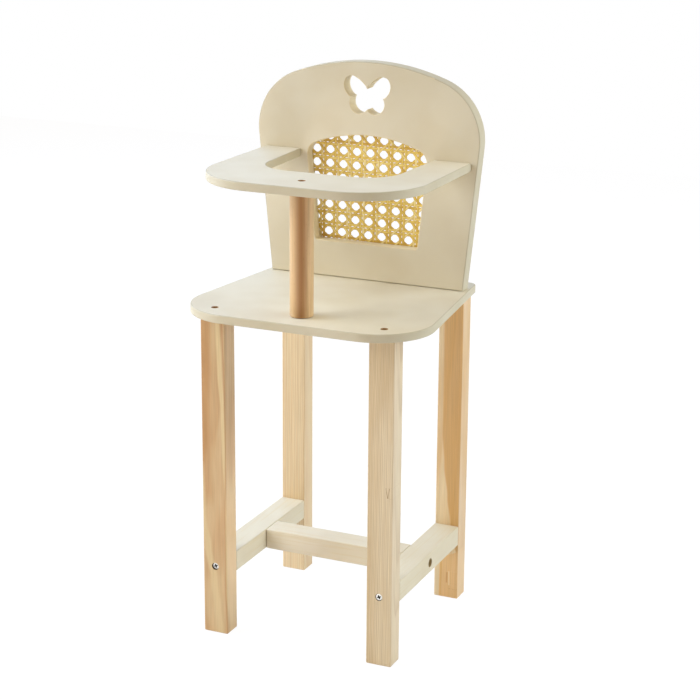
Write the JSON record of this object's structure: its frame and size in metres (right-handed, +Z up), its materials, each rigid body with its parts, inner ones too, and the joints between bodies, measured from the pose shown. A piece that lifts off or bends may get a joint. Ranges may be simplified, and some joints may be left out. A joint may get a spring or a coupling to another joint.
{
  "type": "doll high chair",
  "caption": "Doll high chair with pine legs, painted seat, tray on a round post, and a backrest with a cane window and a butterfly cut-out.",
  "frame": {"origin": "on the floor, in the middle of the chair's outer box", "axes": "+Z up, the front with the tray faces -Y, and +X is on the right of someone who looks at the front. Left and right in the node names are theirs, so left is -X."},
  "size_m": [0.269, 0.2384, 0.6035],
  "materials": {
    "cream_paint": "satin cream lacquer sprayed on MDF and on the pine rails",
    "pine": "planed pine under a thin clear varnish, grain along the leg",
    "beech": "turned round rod under clear varnish, warmer and browner than the legs",
    "cane": "natural golden rattan cane, woven",
    "zinc_plated_steel": "bright zinc plating, cross recess",
    "dowel_wood": "raw beech dowel, hidden in the joints"
  },
  "bodies": {
    "root": {"seat_board": "cream_paint", "backrest_board": "cream_paint", "tray_board": "cream_paint", "cane_retaining_frame": "cream_paint", "left_side_rail": "cream_paint", "right_side_rail": "cream_paint", "cross_rail": "cream_paint", "front_left_leg": "pine", "front_right_leg": "pine", "rear_left_leg": "pine", "rear_right_leg": "pine", "tray_post": "beech", "cane_panel": "cane", "front_left_leg_screw": "zinc_plated_steel", "front_right_leg_screw": "zinc_plated_steel", "rear_left_leg_screw": "zinc_plated_steel", "rear_right_leg_screw": "zinc_plated_steel", "front_left_seat_screw": "zinc_plated_steel", "front_right_seat_screw": "zinc_plated_steel", "rear_left_seat_screw": "zinc_plated_steel", "rear_right_seat_screw": "zinc_plated_steel", "left_cross_rail_screw": "zinc_plated_steel", "right_cross_rail_screw": "zinc_plated_steel", "left_tray_arm_screw": "zinc_plated_steel", "right_tray_arm_screw": "zinc_plated_steel", "left_backrest_screw": "zinc_plated_steel", "middle_backrest_screw": "zinc_plated_steel", "right_backrest_screw": "zinc_plated_steel", "post_foot_screw": "zinc_plated_steel", "tray_screw": "zinc_plated_steel", "front_left_rail_dowel": "dowel_wood", "front_right_rail_dowel": "dowel_wood", "rear_left_rail_dowel": "dowel_wood", "rear_right_rail_dowel": "dowel_wood", "front_left_seat_dowel": "dowel_wood", "front_right_seat_dowel": "dowel_wood", "rear_left_seat_dowel": "dowel_wood", "rear_right_seat_dowel": "dowel_wood", "left_cross_rail_dowel": "dowel_wood", "right_cross_rail_dowel": "dowel_wood", "left_backrest_dowel": "dowel_wood", "right_backrest_dowel": "dowel_wood"}
  },
  "joints": []
}
